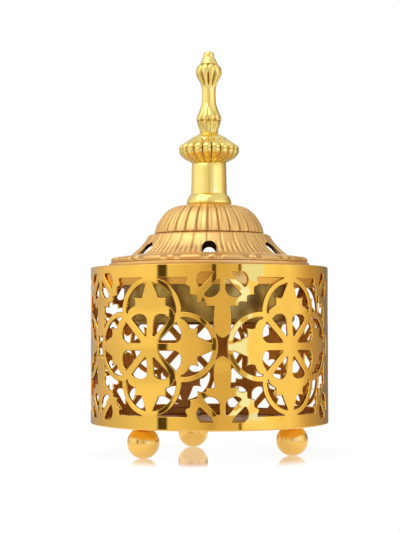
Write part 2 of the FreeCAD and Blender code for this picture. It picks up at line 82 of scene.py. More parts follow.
def metalFinish(name, finish, relief=None):
    material, tree, place = newFinish(name)
    cloud = addNode(tree, "ShaderNodeTexNoise", {
        "Vector": place, "Scale": perMm(finish["cloudSize"]), "Detail": finish["cloudDetail"],
        "Roughness": finish["cloudRough"]}).outputs["Fac"]
    colour = linear(finish["tone"])
    if "otherTone" in finish:
        tones = {"Factor": cloud, "A": colour, "B": linear(finish["otherTone"])}
        colour = addNode(tree, "ShaderNodeMix", tones, data_type="RGBA").outputs["Result"]
    if "grooveTone" in finish:             # painted shade, partly patina, where the mesh marks a groove
        grooveShadeAndPatina = addNode(tree, "ShaderNodeAttribute", attribute_name="grooveShadeAndPatina").outputs["Fac"]
        tones = {"Factor": grooveShadeAndPatina, "A": colour, "B": linear(finish["grooveTone"])}
        colour = addNode(tree, "ShaderNodeMix", tones, data_type="RGBA").outputs["Result"]
    gloss = addNode(tree, "ShaderNodeMapRange", {
        "Value": cloud, "From Min": finish["cloudSpan"][0], "From Max": finish["cloudSpan"][1],
        "To Min": finish["gloss"][0], "To Max": finish["gloss"][1]})
    surface = {"Base Color": colour, "Metallic": 1.0, "Roughness": gloss.outputs[0]}
    if relief:
        surface["Normal"] = addNode(tree, "ShaderNodeBump", {
            "Height": relief(tree, place, finish), "Strength": 1.0,
            "Distance": finish["reliefHeight"] * mm}).outputs[0]
    if "lacquer" in finish:
        surface["Coat Weight"] = finish["lacquer"]
        surface["Coat Roughness"] = finish["lacquerGloss"]
    shader = addNode(tree, "ShaderNodeBsdfPrincipled", surface)
    addNode(tree, "ShaderNodeOutputMaterial", {"Surface": shader.outputs[0]})
    return material


reliefDetail = 2.0
waveRings = 20                   # rings that the wave texture draws to a unit of its scale


def sandGrain(tree, place, finish):
    return addNode(tree, "ShaderNodeTexNoise", {
        "Vector": place, "Scale": perMm(finish["reliefSize"]), "Detail": reliefDetail}).outputs["Fac"]


def polishingLines(tree, place, finish):   # level lines, much longer than they are high
    along = addNode(tree, "ShaderNodeMapping", {"Vector": place, "Scale": finish["lineShape"]})
    return sandGrain(tree, along.outputs[0], finish)


def turningLines(tree, place, finish):
    return addNode(tree, "ShaderNodeTexWave", {
        "Vector": place, "Scale": perMm(finish["reliefSize"]) / waveRings, "Distortion": finish["lineWaver"]},
        wave_type="RINGS", rings_direction="SPHERICAL").outputs["Fac"]


# Polished brass under lacquer: a warm mirror with cloudy wiping marks; duller on the ring and deeper in tone
# there as painted shade, paler on the feet
sheetFinish = dict(
    metal, tone="F1C04F", otherTone="E9B444", cloudSize=11.0, cloudRough=0.55, gloss=(0.03, 0.07),
    lacquer=0.35, lacquerGloss=0.03,
    reliefSize=0.5, reliefHeight=0.0003, lineShape=(0.12, 0.12, 1.0))  # lines drawn coarser than they are
# the ring's deeper tone is painted shade of the gap inside the drum, where its skirt shows
ringFinish = dict(sheetFinish, tone="DDA545", otherTone="C98F38", gloss=(0.12, 0.2), lacquer=0.2)
footFinish = dict(
    sheetFinish, tone="F3CA72", otherTone="ECBE64", gloss=(0.18, 0.25), lacquer=0.25, lacquerGloss=0.12)
sheetBrass = metalFinish("polishedBrassSheet", sheetFinish, polishingLines)
ringBrass = metalFinish("brassRingPaintedShade", ringFinish, polishingLines)
footBrass = metalFinish("lacqueredBrassBall", footFinish, polishingLines)

# Raw brass inside the drum: never polished, blotchy, with a dull sheen; its brown tone is partly painted
# shade of the drum's inside, browner still on its floor
rawAndShadedFinish = dict(
    metal, tone="DB9647", otherTone="B4702A", cloudSize=6.0, cloudDetail=4.0, cloudRough=0.6,
    gloss=(0.3, 0.48))
floorRawAndShadedFinish = dict(rawAndShadedFinish, tone="C4863B", otherTone="9E6524")
insideRawAndShadedBrass = metalFinish("rawBrassInsidePaintedShade", rawAndShadedFinish)
floorRawAndShadedBrass = metalFinish("rawBrassFloorPaintedShade", floorRawAndShadedFinish)

# Cast brass with a satin gold wash: soft broad sheen, fine sand grain, browner in the grooves with painted
# shade and some patina
castFinish = dict(
    metal, tone="ECBC72", otherTone="F4CA84", grooveTone="7E5020", cloudSize=7.0, cloudDetail=4.0,
    gloss=(0.36, 0.5), reliefSize=0.55, reliefHeight=0.008)  # grain drawn coarser than real sand
castBrass = metalFinish("satinCastBrass", castFinish, sandGrain)

# Gold-plated brass of the handle: pale lemon gold, brown in the creases as painted shade with some patina,
# softly gleaming
turnedFinish = dict(metal, tone="F8DF84", grooveTone="A8781E", cloudSize=5.0, gloss=(0.14, 0.2))
carvedFinish = dict(turnedFinish, gloss=(0.13, 0.2))
turnedGold = metalFinish("platedTurnedBrass", turnedFinish)
carvedGold = metalFinish("platedCastBrass", carvedFinish)

# Spun brass of the dish: satin, olive in the shade, with the turning lines of the spinning lathe
dishFinish = dict(
    metal, tone="CDAF5C", otherTone="A98C4A", cloudSize=8.0, cloudDetail=5.0, cloudRough=0.65,
    gloss=(0.26, 0.4), reliefSize=0.7, reliefHeight=0.004, lineWaver=0.4)
dishBrass = metalFinish("spunBrass", dishFinish, turningLines)

# Zinc-plated steel of the fasteners: cool grey, slightly mottled by the plating bath
steelFinish = dict(
    metal, tone="BFC0BC", otherTone="98999A", cloudSize=1.2, cloudDetail=2.0, cloudSpan=(0.0, 1.0),
    gloss=(0.24, 0.38))
steel = metalFinish("zincPlatedSteel", steelFinish)
print("finishes made")


def polar(radius, angle, height):          # angle in degrees from the front, towards the right
    turn = math.radians(angle)
    return Vector((radius * math.sin(turn), -radius * math.cos(turn), height))


def ease(start, end, value):               # 0 before start, 1 after end, smooth between
    share = min(1.0, max(0.0, (value - start) / (end - start)))
    return share * share * (3 - 2 * share)


def offCentre(angle, centre, pitch):       # how far an angle lies from the nearest of evenly spaced centres
    return (angle - centre + pitch / 2) % pitch - pitch / 2


def addPiece(name, mesh):
    piece = bpy.data.objects.new(name, mesh)
    bpy.context.scene.collection.objects.link(piece)
    return piece


def buildRepeatTree():                     # copies a sector round the upright axis and welds the joins
    tree = bpy.data.node_groups.new("repeatRoundAxis", "GeometryNodeTree")
    for name, kind in (("Sector", "Geometry"), ("Count", "Int"), ("Weld", "Float"), ("Finish", "Material")):
        tree.interface.new_socket(name, in_out="INPUT", socket_type="NodeSocket" + kind)
    tree.interface.new_socket("Ring", in_out="OUTPUT", socket_type="NodeSocketGeometry")
    given = addNode(tree, "NodeGroupInput").outputs
    index = addNode(tree, "GeometryNodeInputIndex").outputs[0]
    step = addNode(tree, "ShaderNodeMath", {0: 2 * math.pi, 1: given["Count"]}, operation="DIVIDE")
    turn = addNode(tree, "ShaderNodeMath", {0: index, 1: step.outputs[0]}, operation="MULTIPLY")
    spin = addNode(tree, "ShaderNodeCombineXYZ", {"Z": turn.outputs[0]})
    rotation = addNode(tree, "FunctionNodeEulerToRotation", {0: spin.outputs[0]})
    points = addNode(tree, "GeometryNodePoints", {"Count": given["Count"]})
    copies = addNode(tree, "GeometryNodeInstanceOnPoints", {
        "Points": points.outputs[0], "Instance": given["Sector"], "Rotation": rotation.outputs[0]})
    whole = addNode(tree, "GeometryNodeRealizeInstances", {"Geometry": copies.outputs[0]})
    welded = addNode(tree, "GeometryNodeMergeByDistance", {
        "Geometry": whole.outputs[0], "Distance": given["Weld"]})
    dressed = addNode(tree, "GeometryNodeSetMaterial", {
        "Geometry": welded.outputs[0], "Material": given["Finish"]})
    addNode(tree, "NodeGroupOutput", {"Ring": dressed.outputs[0]})
    return tree


repeatTree = buildRepeatTree()
repeatSocket = {item.name: item.identifier for item in repeatTree.interface.items_tree}
weldDistance = 0.002 * mm


def plainMesh(piece):                      # the mesh that the piece's modifiers give, with none left on it
    depsgraph = bpy.context.evaluated_depsgraph_get()
    mesh = bpy.data.meshes.new_from_object(
        piece.evaluated_get(depsgraph), preserve_all_data_layers=True, depsgraph=depsgraph)
    piece.modifiers.clear()
    piece.data = mesh
    return mesh


def repeatRound(name, sector, count, finish, sharpAngle):
    sector.materials.append(finish)
    piece = addPiece(name, sector)
    ring = piece.modifiers.new("repeat", "NODES")
    ring.node_group = repeatTree
    ring[repeatSocket["Count"]] = count
    ring[repeatSocket["Weld"]] = weldDistance
    ring[repeatSocket["Finish"]] = finish
    mesh = plainMesh(piece)
    mesh.name = name
    mesh.shade_smooth()
    mesh.set_sharp_from_angle(angle=math.radians(sharpAngle))
    return piece


def settle(piece, body, slot, *replaced):  # hands a finished piece to its body
    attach(piece, body)
    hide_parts(*replaced)
    print(piece.name, "made:", sum(len(face.vertices) - 2 for face in piece.data.polygons), "triangles")


def smoothLine(points, steps):             # a smooth curve through a few points of a profile
    knots = [Vector(p).to_3d() for p in points]
    knots = [2 * knots[0] - knots[1]] + knots + [2 * knots[-1] - knots[-2]]
    line = []
    for before, start, end, after in zip(knots, knots[1:], knots[2:], knots[3:]):
        handles = start + (end - before) / 6, end - (after - start) / 6
        line += interpolate_bezier(start, *handles, end, steps + 1)[:-1]
    return [p.to_2d() for p in line + knots[-2:-1]]


cornerCurve = {"handle": 0.55, "points": 6}  # near to an arc


def roundedLine(corners):                  # a profile through (radius, height, rounding) corners
    spots = [Vector(c[:2]).to_3d() for c in corners]
    line = spots[:1]
    for before, here, after, corner in zip(spots, spots[1:], spots[2:], corners[1:]):
        rounding = corner[2]
        if not rounding:
            line.append(here)
            continue
        start = here + (before - here).normalized() * rounding
        end = here + (after - here).normalized() * rounding
        handles = start.lerp(here, cornerCurve["handle"]), end.lerp(here, cornerCurve["handle"])
        line += interpolate_bezier(start, *handles, end, cornerCurve["points"])
    return [p.to_2d() for p in line + spots[-1:]]


def inZone(zone, line):                    # profile rows that carry their zone and how far along it they are
    last = max(1, len(line) - 1)
    return [(p[0], p[1], zone, i / last) for i, p in enumerate(line)]


def sectorMesh(name, rows, base, columns, start, span, shape=None):
    # sweeps rows of (radius, height, zone, share) round; shape moves a point and gives its groove tint, a
    # painted shade that is partly patina
    mesh = bpy.data.meshes.new(name)
    points = []
    tints = []
    for i in range(columns + 1):
        angle = start + span * i / columns
        for radius, height, zone, share in rows:
            tint = 0.0
            if shape:
                radius, height, tint = shape(radius, height, zone, share, angle)
            points.append(polar(radius * mm, angle, base + height * mm))
            tints.append(tint)
    size = len(rows)
    faces = []
    for i in range(columns):
        for k in range(size - 1):
            corner = i * size + k
            faces.append((corner, corner + size, corner + size + 1, corner + 1))
    mesh.from_pydata(points, [], faces)
    grooveShadeAndPatina = mesh.attributes.new("grooveShadeAndPatina", "FLOAT", "POINT")
    grooveShadeAndPatina.data.foreach_set("value", tints)
    return mesh


# Pierced drum: the unrolled outlines of the sheet, with every cut edge rounded, wrapped round again
drum = {
    "seamAngle": 82.27,          # where the ends of the rolled sheet meet
    "seamReach": 0.1575,         # points this near the seam are the sheet's ends, built a little apart
    "seamHairline": 0.02,        # half the gap that the closed joint shows
    "wall": 0.8,
    "edgeRound": 0.28,           # bright rounded edge left by the cutting and polishing
    "tipStretch": 2.2, "dipStretch": 1.25,       # how much longer the rounding may get at a corner
    "shortestRun": 0.12, "longestRun": 0.9,
    "weld": 0.0005,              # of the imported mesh's points
    "onFace": 0.02, "outward": 0.5,      # how near the outer face, and how squarely, a face lies on it
    "sliver": 0.02,              # a face under this area, in square millimetres, has no sure direction
    "gridStep": 1.6,             # spacing of the points that bend the faces round
    "slopeStep": 0.2,            # over which the sheet's slope is measured
    # rolling left the pierced sheet uneven: two rows of dents between the bands, and a finer unevenness
    "dent": 0.42, "dentLength": 22.0, "dentHeight": 21.0, "dentAngle": -20.0,
    "dentReach": (32.0, 60.0), "dentElsewhere": 0.3,  # the front is the most uneven
    "waver": 0.05, "waverSize": 9.0, "waverRise": 0.7, "calmBand": 4.0,
}


def cutOutlines(node, radius):             # outlines of the sheet's outer face, metal on the left, unrolled
    work = bmesh.new()
    work.from_mesh(node.data)
    bmesh.ops.remove_doubles(work, verts=work.verts, dist=drum["weld"] * mm)
    for face in work.faces:
        middle = face.calc_center_median()
        middle.z = 0
        reach = min(v.co.xy.length for v in face.verts)
        isOutward = face.normal.dot(middle.normalized()) > drum["outward"]
        isSliver = face.calc_area() < drum["sliver"] * mm * mm
        face.tag = reach > radius - drum["onFace"] * mm and (isOutward or isSliver)
    follow = {}
    for face in work.faces:
        if face.tag:
            for corner in face.loops:
                if not any(other.tag for other in corner.edge.link_faces if other is not face):
                    follow[corner.vert] = corner.link_loop_next.vert
    outlines = []
    seam = math.radians(drum["seamAngle"])
    while follow:
        here = next(iter(follow))
        outline = []
        while here in follow:
            turn = (math.atan2(here.co.x, -here.co.y) - seam) % (2 * math.pi)
            along = turn * radius
            fromSeam = min(along, 2 * math.pi * radius - along)
            if fromSeam < drum["seamReach"] * mm:  # the two ends of the sheet are pushed together
                shift = fromSeam - drum["seamHairline"] * mm
                along += -shift if along == fromSeam else shift
            outline.append(Vector((along, here.co.z)))
            here = follow.pop(here)
        outlines.append(outline)
    work.free()
    return outlines


def loopArea(outline):
    return sum(a.cross(b) for a, b in zip(outline, outline[1:] + outline[:1])) / 2


def evenRuns(outline):                     # drops crowded points and divides long straight runs
    kept = []
    for point in outline:
        if not kept or (point - kept[-1]).length > drum["shortestRun"] * mm:
            kept.append(point)
    while (kept[0] - kept[-1]).length < drum["shortestRun"] * mm:
        kept.pop()
    points = []
    for here, after in zip(kept, kept[1:] + kept[:1]):
        count = math.ceil((after - here).length / (drum["longestRun"] * mm))
        points += [here.lerp(after, i / count) for i in range(count)]
    return points


def leftOf(outline):                       # at each point the way into the metal, longer at a pointed tip
    ways = []
    for before, here, after in zip(outline[-1:] + outline[:-1], outline, outline[1:] + outline[:1]):
        into = (here - before).normalized()
        onward = (after - here).normalized()
        sides = Vector((-into.y, into.x)), Vector((-onward.y, onward.x))
        middle = (sides[0] + sides[1]).normalized()
        longest = drum["tipStretch"] if into.cross(onward) > 0 else drum["dipStretch"]
        ways.append((middle, 1 / max(middle.dot(sides[0]), 1 / longest)))
    return ways


def buckleAt(along, up, low, high):        # how far the thin sheet falls in between its bands, never outwards
    calm = drum["calmBand"] * mm
    fade = ease(low.z + calm, low.z + 2 * calm, up) * (1 - ease(high.z - 2 * calm, high.z - calm, up))
    fromFront = abs(math.degrees(along / high.x) + drum["seamAngle"] - 360)
    fade *= 1 - (1 - drum["dentElsewhere"]) * ease(*drum["dentReach"], fromFront)
    fromDent = along - math.radians(drum["dentAngle"] - drum["seamAngle"] + 360) * high.x
    row = 0.5 - 0.5 * math.cos(2 * math.pi * (up - (low.z + high.z) / 2) / (drum["dentHeight"] * mm))
    dent = row * (math.sin(2 * math.pi * fromDent / (drum["dentLength"] * mm)) - 1)
    waver = noise.noise(Vector((along, up * drum["waverRise"], 0.0)) * perMm(drum["waverSize"])) - 1
    return fade * mm * (drum["dent"] * dent + drum["waver"] * waver)


def makeDrum():
    low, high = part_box("drum_shell")
    radius = high.x
    wall = drum["wall"] * mm
    edge = drum["edgeRound"] * mm
    outlines = [evenRuns(o) for o in cutOutlines(cadNodes["drum_shell"], radius)]
    outlines.sort(key=loopArea, reverse=True)  # the sheet's own outline comes first
    points = []
    normals = []
    faces = []
    insideFaces = []

    def wrap(along, up, depth, facing):    # adds a vertex; facing is (right, up, out)
        angle = math.degrees(along / radius) + drum["seamAngle"]
        out = polar(1, angle, 0)
        right = polar(1, angle + 90, 0)
        points.append(out * (radius - depth + buckleAt(along, up, low, high)) + Vector((0, 0, up)))
        normals.append((right * facing[0] + Vector((0, 0, facing[1])) + out * facing[2]).normalized())
        return len(points) - 1

    def swell(along, up):                  # the sheet's slope, as a facing
        step = drum["slopeStep"] * mm
        here = buckleAt(along, up, low, high)
        slopeAlong = (buckleAt(along + step, up, low, high) - here) / step
        slopeUp = (buckleAt(along, up + step, low, high) - here) / step
        return Vector((-slopeAlong, -slopeUp, 1.0))

    flat = []                              # (along, up) of the points that the faces are filled from
    rims = []                              # the same points' vertices on the outer and inner face
    loops = []
    for outline in outlines:
        rows = []
        first = len(flat)
        for spot, (into, stretch) in zip(outline, leftOf(outline)):
            inside = spot + into * edge * stretch
            facing = swell(inside.x, inside.y)
            cut = (-into.x, -into.y, 0.0)
            flat.append(inside)
            rows.append((
                wrap(inside.x, inside.y, 0.0, facing), wrap(spot.x, spot.y, edge, cut),
                wrap(spot.x, spot.y, wall - edge / 2, cut), wrap(inside.x, inside.y, wall, -facing)))
            rims.append((rows[-1][0], rows[-1][3]))
        for here, after in zip(rows, rows[1:] + rows[:1]):
            for k in range(3):
                faces.append((here[k + 1], after[k + 1], after[k], here[k]))
        loops.append(list(range(first, len(flat))))
    loops[1:] = [loop[::-1] for loop in loops[1:]]

    step = drum["gridStep"] * mm
    for i in range(1, int(2 * math.pi * radius / step)):
        for k in range(1, int((high.z - low.z) / step)):
            flat.append(Vector((i * step, low.z + (k + 0.5 * (i % 2)) * step)))
    spots, _, fills, sources, _, owners = delaunay_2d_cdt(flat, [], loops, 1, 1e-9)
    vertex = {}
    for fill, owner in zip(fills, owners):
        if list(owner) != [0]:             # inside an opening
            continue
        for k in fill:
            if k not in vertex:
                known = [s for s in sources[k] if s < len(rims)]
                if known:
                    vertex[k] = rims[known[0]]
                else:
                    facing = swell(*spots[k])
                    vertex[k] = wrap(*spots[k], 0.0, facing), wrap(*spots[k], wall, -facing)
        faces.append([vertex[k][0] for k in fill])
        faces.append([vertex[k][1] for k in reversed(fill)])
        insideFaces.append(len(faces) - 1)
    mesh = bpy.data.meshes.new("piercedDrum")
    mesh.from_pydata(points, [], faces)
    mesh.materials.append(sheetBrass)
    # the inner face's darker raw tone is partly painted shade
    mesh.materials.append(insideRawAndShadedBrass)
    for i in insideFaces:
        mesh.polygons[i].material_index = 1
    mesh.shade_smooth()
    mesh.normals_split_custom_set_from_vertices(normals)
    print("drum outlines:", len(outlines), "points on them:", len(rims))
    settle(addPiece("piercedDrum", mesh), "base", "polished_brass", "drum_shell")


makeDrum()


# Base plate, support ring and dish: turned sheet pieces with softly broken edges
plate = {"thickness": 1.0, "rimHeight": 3.2, "edgeRound": 0.3, "bend": 0.9, "downward": -0.5}
shelf = {"thickness": 0.8, "edgeRound": 0.25, "clearance": 0.4}
dish = {"wall": 0.8, "corner": 2.0, "edgeRound": 0.25, "flangeWidth": 4.0}
turning = {"sectors": 24, "columns": 6, "sharpAngle": 38}


def turnedPiece(name, line, finish, body, slot, node):
    sectors = turning["sectors"]
    sector = sectorMesh(name, inZone("plain", line), 0.0, turning["columns"], 0.0, 360 / sectors)
    piece = repeatRound(name, sector, sectors, finish, turning["sharpAngle"])
    settle(piece, body, slot, node)
    return piece.data


def makePlate():
    low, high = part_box("base_plate")
    outer = high.x / mm
    bottom = low.z / mm
    top = bottom + plate["thickness"]
    inner = outer - plate["thickness"]
    rim = bottom + plate["rimHeight"]
    edge = plate["edgeRound"]
    line = roundedLine([
        (0, bottom, 0), (outer, bottom, plate["bend"]), (outer, rim, edge), (inner, rim, edge),
        (inner, top, edge), (0, top, 0)])
    mesh = turnedPiece("basePlate", line, sheetBrass, "base", "polished_brass", "base_plate")
    mesh.materials.append(floorRawAndShadedBrass)
    for face in mesh.polygons:             # only its underside was polished; the raw rest is darker partly as painted shade
        if face.normal.z > plate["downward"]:
            face.material_index = 1


def makeShelf():
    low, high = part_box("support_ring")
    outer = high.x / mm
    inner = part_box("charcoal_dish")[1].x / mm - dish["flangeWidth"] + shelf["clearance"]
    bottom = low.z / mm
    top = high.z / mm
    under = top - shelf["thickness"]
    skirt = outer - shelf["thickness"]
    edge = shelf["edgeRound"]
    line = roundedLine([
        (inner, top - edge, 0), (inner, under, edge), (skirt, under, edge), (skirt, bottom, edge),
        (outer, bottom, edge), (outer, top, edge), (inner, top, edge), (inner, top - edge, 0)])
    turnedPiece("supportRing", line, ringBrass, "base", "polished_brass", "support_ring")


def makeDish():
    low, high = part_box("charcoal_dish")
    wall = dish["wall"]
    flange = high.x / mm
    outer = flange - dish["flangeWidth"]
    inner = outer - wall
    bottom = low.z / mm
    top = high.z / mm
    under = top - wall
    edge = dish["edgeRound"]
    line = roundedLine([
        (0, bottom, 0), (outer, bottom, dish["corner"]), (outer, under, edge), (flange, under, edge),
        (flange, top, edge), (inner, top, wall), (inner, bottom + wall, dish["corner"] - wall),
        (0, bottom + wall, 0)])
    turnedPiece("charcoalDish", line, dishBrass, "dish", "dish_brass", "charcoal_dish")


makePlate()
makeShelf()
makeDish()


# Ball feet: one ball with its standing flat and its seat, copied round the base
feet = {"count": 3, "circleRadius": 27.0, "firstAngle": -48.3, "rings": 28, "columns": 40, "flatRadius": 1.0}


def makeFeet():
    low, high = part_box("ball_foot_1")
    radius = (high.x - low.x) / 2 / mm
    middle = math.sqrt(radius ** 2 - feet["flatRadius"] ** 2)
    top = high.z / mm
    start = math.asin(feet["flatRadius"] / radius)
    end = math.pi - math.acos((top - middle) / radius)
    rows = [(0.0, 0.0)]
    for i in range(feet["rings"] + 1):
        turn = start + (end - start) * i / feet["rings"]
        rows.append((radius * math.sin(turn), middle - radius * math.cos(turn)))
    rows.append((0.0, top))
    ball = sectorMesh("ballFoot", inZone("ball", rows), 0.0, feet["columns"], 0.0, 360.0)
    ball.transform(Matrix.Translation(polar(feet["circleRadius"] * mm, feet["firstAngle"], 0.0)))
    piece = repeatRound("ballFeet", ball, feet["count"], footBrass, turning["sharpAngle"])
    settle(piece, "base", "polished_brass", "ball_foot_1", "ball_foot_2", "ball_foot_3")


makeFeet()


# Lid: one sector holds a bead, a bar, two ribs of the dome and the flutes under them
lid = {
    "sectors": 15, "columns": 72, "ribsPerSector": 2, "flutesPerRib": 3, "shell": 1.4, "sharpAngle": 50,
    "grooveAngle": -1.6,         # of the groove between two ribs that lies nearest the front
    # the tints are painted shade in the rib grooves, flutes, lines and creases, partly patina there, and
    # painted shadow round the beads and bars
    "ribGroove": 0.5, "ribGrooveWidth": 0.4, "ribRound": 0.2, "ribFade": 0.4, "ribDip": 0.4, "ribTint": 0.7,
    # reaches are shares of the way up the zone that they lie in
    "fluteDepth": 0.36, "fluteTint": 0.55, "fluteStart": (0.0, 0.08), "fluteEnd": (0.25, 0.62),
    "lineDepth": 0.25, "lineWidth": 0.32, "lineTint": 0.35, "lineStart": (0.1, 0.4), "lineFade": 0.5,
    "creaseTint": 0.9, "creaseEdge": 0.8, "creaseEdgeTint": 0.3,
    "beadAngle": 1.6, "beadWidth": 4.6, "beadHeight": 0.6, "barWidth": 13.0, "barHeight": 0.75,
    "beadSlant": 0.7, "beadTint": 0.45,          # a bead rises out and up alike
    "lipRadius": 25.8, "lipBore": 24.2, "lipDepth": 2.0,
    "skirtBore": 31.2, "skirtDrop": 0.55,        # the rim hangs round the dish's flange
    "ventAngles": (0.0, 59.0, 115.5, 180.0, -115.5, -59.0),  # daylight shows through the side ones
    "ventWidth": 4.5, "ventHeight": 3.7, "ventFoot": 3.05, "ventReach": (13.0, 27.0), "archSteps": 16,
}


def lidRows(rimRadius, domeHeight):
    ceiling = domeHeight - lid["shell"]
    lip, bore, drop = lid["lipRadius"], lid["lipBore"], lid["lipDepth"]
    skirt, hem = lid["skirtBore"], lid["skirtDrop"]
    under = [(0.0, ceiling), (5.7, ceiling)]
    under += smoothLine([(5.7, ceiling), (10.2, 17.2), (13.0, 15.4), (14.8, 12.9), (15.8, 10.4)], 2)
    under += smoothLine([(18.2, 9.2), (19.3, 7.6), (20.9, 5.8), (22.7, 3.9), (23.9, 2.4)], 2)
    under += roundedLine([
        (bore, 1.4, 0), (bore, -drop, 0.35), (lip, -drop, 0.35), (lip, 0.0, 0.15), (skirt, 0.0, 0.1),
        (skirt, -hem, 0.1), (rimRadius, -hem, 0.15), (rimRadius, 0.4, 0.15), (31.25, 0.45, 0)])
    rows = inZone("under", under)
    rows += inZone("crease", [(31.1, 0.46), (30.95, 0.55), (31.0, 0.68)])
    rows += inZone("bead", smoothLine([(31.0, 0.78), (30.8, 1.3), (30.25, 1.85), (29.4, 2.22)], 5))
    rows += inZone("crease", [(29.2, 2.26), (29.05, 2.3), (28.9, 2.38)])
    rows += inZone("ledge", smoothLine([
        (28.6, 2.45), (27.6, 2.6), (26.4, 2.7), (25.6, 2.82), (25.15, 2.95)], 2))
    rows += inZone("flare", smoothLine([
        (24.8, 3.05), (23.55, 4.15), (22.15, 5.4), (20.5, 7.25), (19.75, 8.4), (19.45, 9.0)], 5))
    rows += inZone("shoulder", smoothLine([(19.25, 9.2), (18.8, 9.45), (18.2, 9.6), (17.6, 9.68)], 2))
    rows += inZone("step", [(17.3, 9.7), (17.12, 9.85), (17.22, 10.05)])
    rows += inZone("dome", smoothLine([
        (17.38, 10.2), (17.15, 11.2), (16.5, 12.95), (15.6, 14.5), (14.72, 15.75), (14.1, 16.4),
        (13.4, 17.05), (12.55, 17.7), (11.1, 18.35), (9.2, 18.8), (7.7, 18.98)], 3))
    return rows + inZone("top", [(7.2, 19.1), (7.0, domeHeight), (0.0, domeHeight)])


def lidShape(radius, height, zone, share, angle):  # cuts the ornament into the turned profile and gives the painted shade of its hollows
    pitch = 360 / lid["sectors"]
    ribPitch = pitch / lid["ribsPerSector"]
    offset = offCentre(angle, lid["grooveAngle"], ribPitch)
    fromGroove = abs(math.radians(offset)) * radius  # along the surface, from the nearest rib groove
    if zone == "dome":
        fade = 1 - lid["ribFade"] * share
        cut = math.exp(-(fromGroove / (lid["ribGrooveWidth"] * fade)) ** 2)
        radius -= lid["ribGroove"] * fade * cut + lid["ribRound"] * (2 * offset / ribPitch) ** 2
        return radius, height - lid["ribDip"] * lid["ribGroove"] * cut * share, lid["ribTint"] * cut
    if zone in ("step", "crease"):
        return radius, height, lid["creaseTint"] if share < lid["creaseEdge"] else lid["creaseEdgeTint"]
    if zone in ("flare", "shoulder"):
        flutePitch = ribPitch / lid["flutesPerRib"]
        wave = 0.5 + 0.5 * math.cos(2 * math.pi * (angle - lid["grooveAngle"]) / flutePitch)
        line = math.exp(-(fromGroove / lid["lineWidth"]) ** 2)
        if zone == "flare":
            low = (1 - ease(*lid["fluteEnd"], share)) * ease(*lid["fluteStart"], share)
            line *= ease(*lid["lineStart"], share)
        else:
            low = 0.0
            line *= 1 - lid["lineFade"] * share
        radius -= lid["fluteDepth"] * low * wave + lid["lineDepth"] * line
        return radius, height, lid["fluteTint"] * low * wave ** 2 + lid["lineTint"] * line
    if zone == "bead":
        fromBead = offCentre(angle, lid["beadAngle"], pitch)
        fromBar = (angle - lid["beadAngle"]) % pitch - pitch / 2
        bead = max(0.0, 1 - (2 * fromBead / lid["beadWidth"]) ** 2) ** 0.5
        bar = lid["barHeight"] * max(0.0, 1 - abs(2 * fromBar / lid["barWidth"]) ** 5) ** 0.5
        across = math.sin(math.pi * share)
        rise = lid["beadSlant"] * lid["beadHeight"] * max(bead, bar) * across ** 0.6
        return radius + rise, height + rise, lid["beadTint"] * (1 - max(bead, bar)) * across ** 0.5
    return radius, height, 0.0


def ventCutters(base):                     # level arched tunnels, closed at both ends
    half = lid["ventWidth"] / 2
    foot = lid["ventFoot"]
    spring = foot + lid["ventHeight"] - half
    turns = [math.pi * i / lid["archSteps"] for i in range(lid["archSteps"] + 1)]
    arch = [(half * math.cos(turn), spring + half * math.sin(turn)) for turn in turns]
    arch = [(half, foot)] + arch + [(-half, foot)]
    count = len(arch)
    points = []
    faces = []
    for angle in lid["ventAngles"]:
        first = len(points)
        aside = polar(mm, angle + 90, 0.0)
        points += [polar(y * mm, angle, base + z * mm) + aside * x for y in lid["ventReach"] for x, z in arch]
        faces += [tuple(range(first + count, first + 2 * count)), tuple(range(first, first + count))[::-1]]
        faces += [(first + i, first + (i + 1) % count, first + count + (i + 1) % count, first + count + i)
                  for i in range(count)]
    mesh = bpy.data.meshes.new("ventCutters")
    mesh.from_pydata(points, [], faces)
    mesh.materials.append(castBrass)
    return addPiece("ventCutters", mesh)


carving = {"sharpAngle": 60}     # the ornament of the lid, knop and spindle stays smooth up to this angle


def carvedPiece(name, rows, base, sizes, count, start, finish, shape):
    sector = sectorMesh(name + "Sector", rows, base, sizes["columns"], start, 360 / count, shape)
    return repeatRound(name, sector, count, finish, carving["sharpAngle"])


def makeLid():
    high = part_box("lid_dome")[1]
    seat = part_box("charcoal_dish")[1].z
    rows = lidRows(high.x / mm, (high.z - seat) / mm)
    piece = carvedPiece("flutedLid", rows, seat, lid, lid["sectors"], 0.0, castBrass, lidShape)
    cutter = ventCutters(seat)
    vents = piece.modifiers.new("vents", "BOOLEAN")
    vents.object = cutter
    vents.solver = "EXACT"
    mesh = plainMesh(piece)
    mesh.set_sharp_from_angle(angle=math.radians(lid["sharpAngle"]))
    bpy.data.objects.remove(cutter)
    settle(piece, "lid", "cast_brass", "lid_dome")


makeLid()


# Column of the handle: a smooth turned pillar on a swelling foot
column = {"footRadius": 7.12, "radius": 5.68, "taper": 0.22, "footHeight": 3.2}


def makeColumn():
    low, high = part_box("handle_column")
    bottom = low.z / mm
    top = high.z / mm
    foot = column["footRadius"]
    radius = column["radius"]
    tip = radius - column["taper"]
    neck = bottom + column["footHeight"]
    line = [(0.0, bottom)]
    line += smoothLine([
        (foot - 0.25, bottom), (foot, bottom + 0.3), (foot - 0.05, bottom + 0.85),
        (foot - 0.28, bottom + 1.5), (foot - 0.55, bottom + 2.15), (foot - 1.02, bottom + 2.8),
        (radius + 0.06, neck)], 4)
    line += smoothLine([
        (radius - 0.06, neck + 0.1), (radius, neck + 0.3), (radius - 0.1, bottom + 7.0), (tip, top - 0.2)], 3)
    line += [(tip - 0.15, top), (0.0, top)]
    turnedPiece("handleColumn", line, turnedGold, "lid", "polished_brass", "handle_column")


makeColumn()


